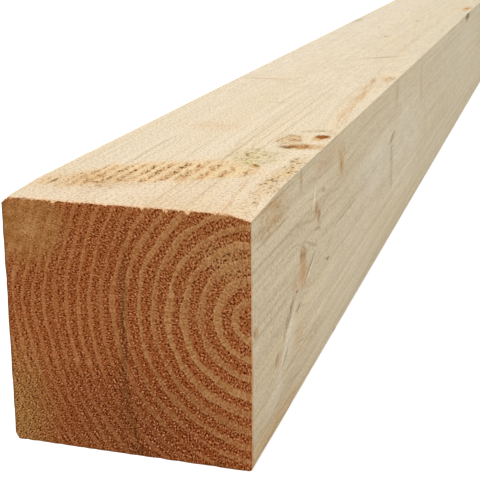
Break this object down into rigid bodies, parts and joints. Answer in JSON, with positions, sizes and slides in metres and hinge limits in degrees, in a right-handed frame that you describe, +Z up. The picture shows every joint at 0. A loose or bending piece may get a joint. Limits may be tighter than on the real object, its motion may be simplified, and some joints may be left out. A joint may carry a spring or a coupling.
{
  "type": "timber post",
  "caption": "Rough-sawn square softwood post with square-cut ends, a waned arris and broken end corners, set upright to carry fencing, gates or framing.",
  "frame": {"origin": "middle of the lower face, which lies on the floor", "axes": "+X across the post, to the right as seen from the pictured end; +Y along the post, away from that end; +Z up"},
  "size_m": [0.1, 2.4, 0.102],
  "materials": {
    "sawn_softwood": "rough sawn, untreated"
  },
  "bodies": {
    "root": {"timber_post": "sawn_softwood"}
  },
  "joints": []
}
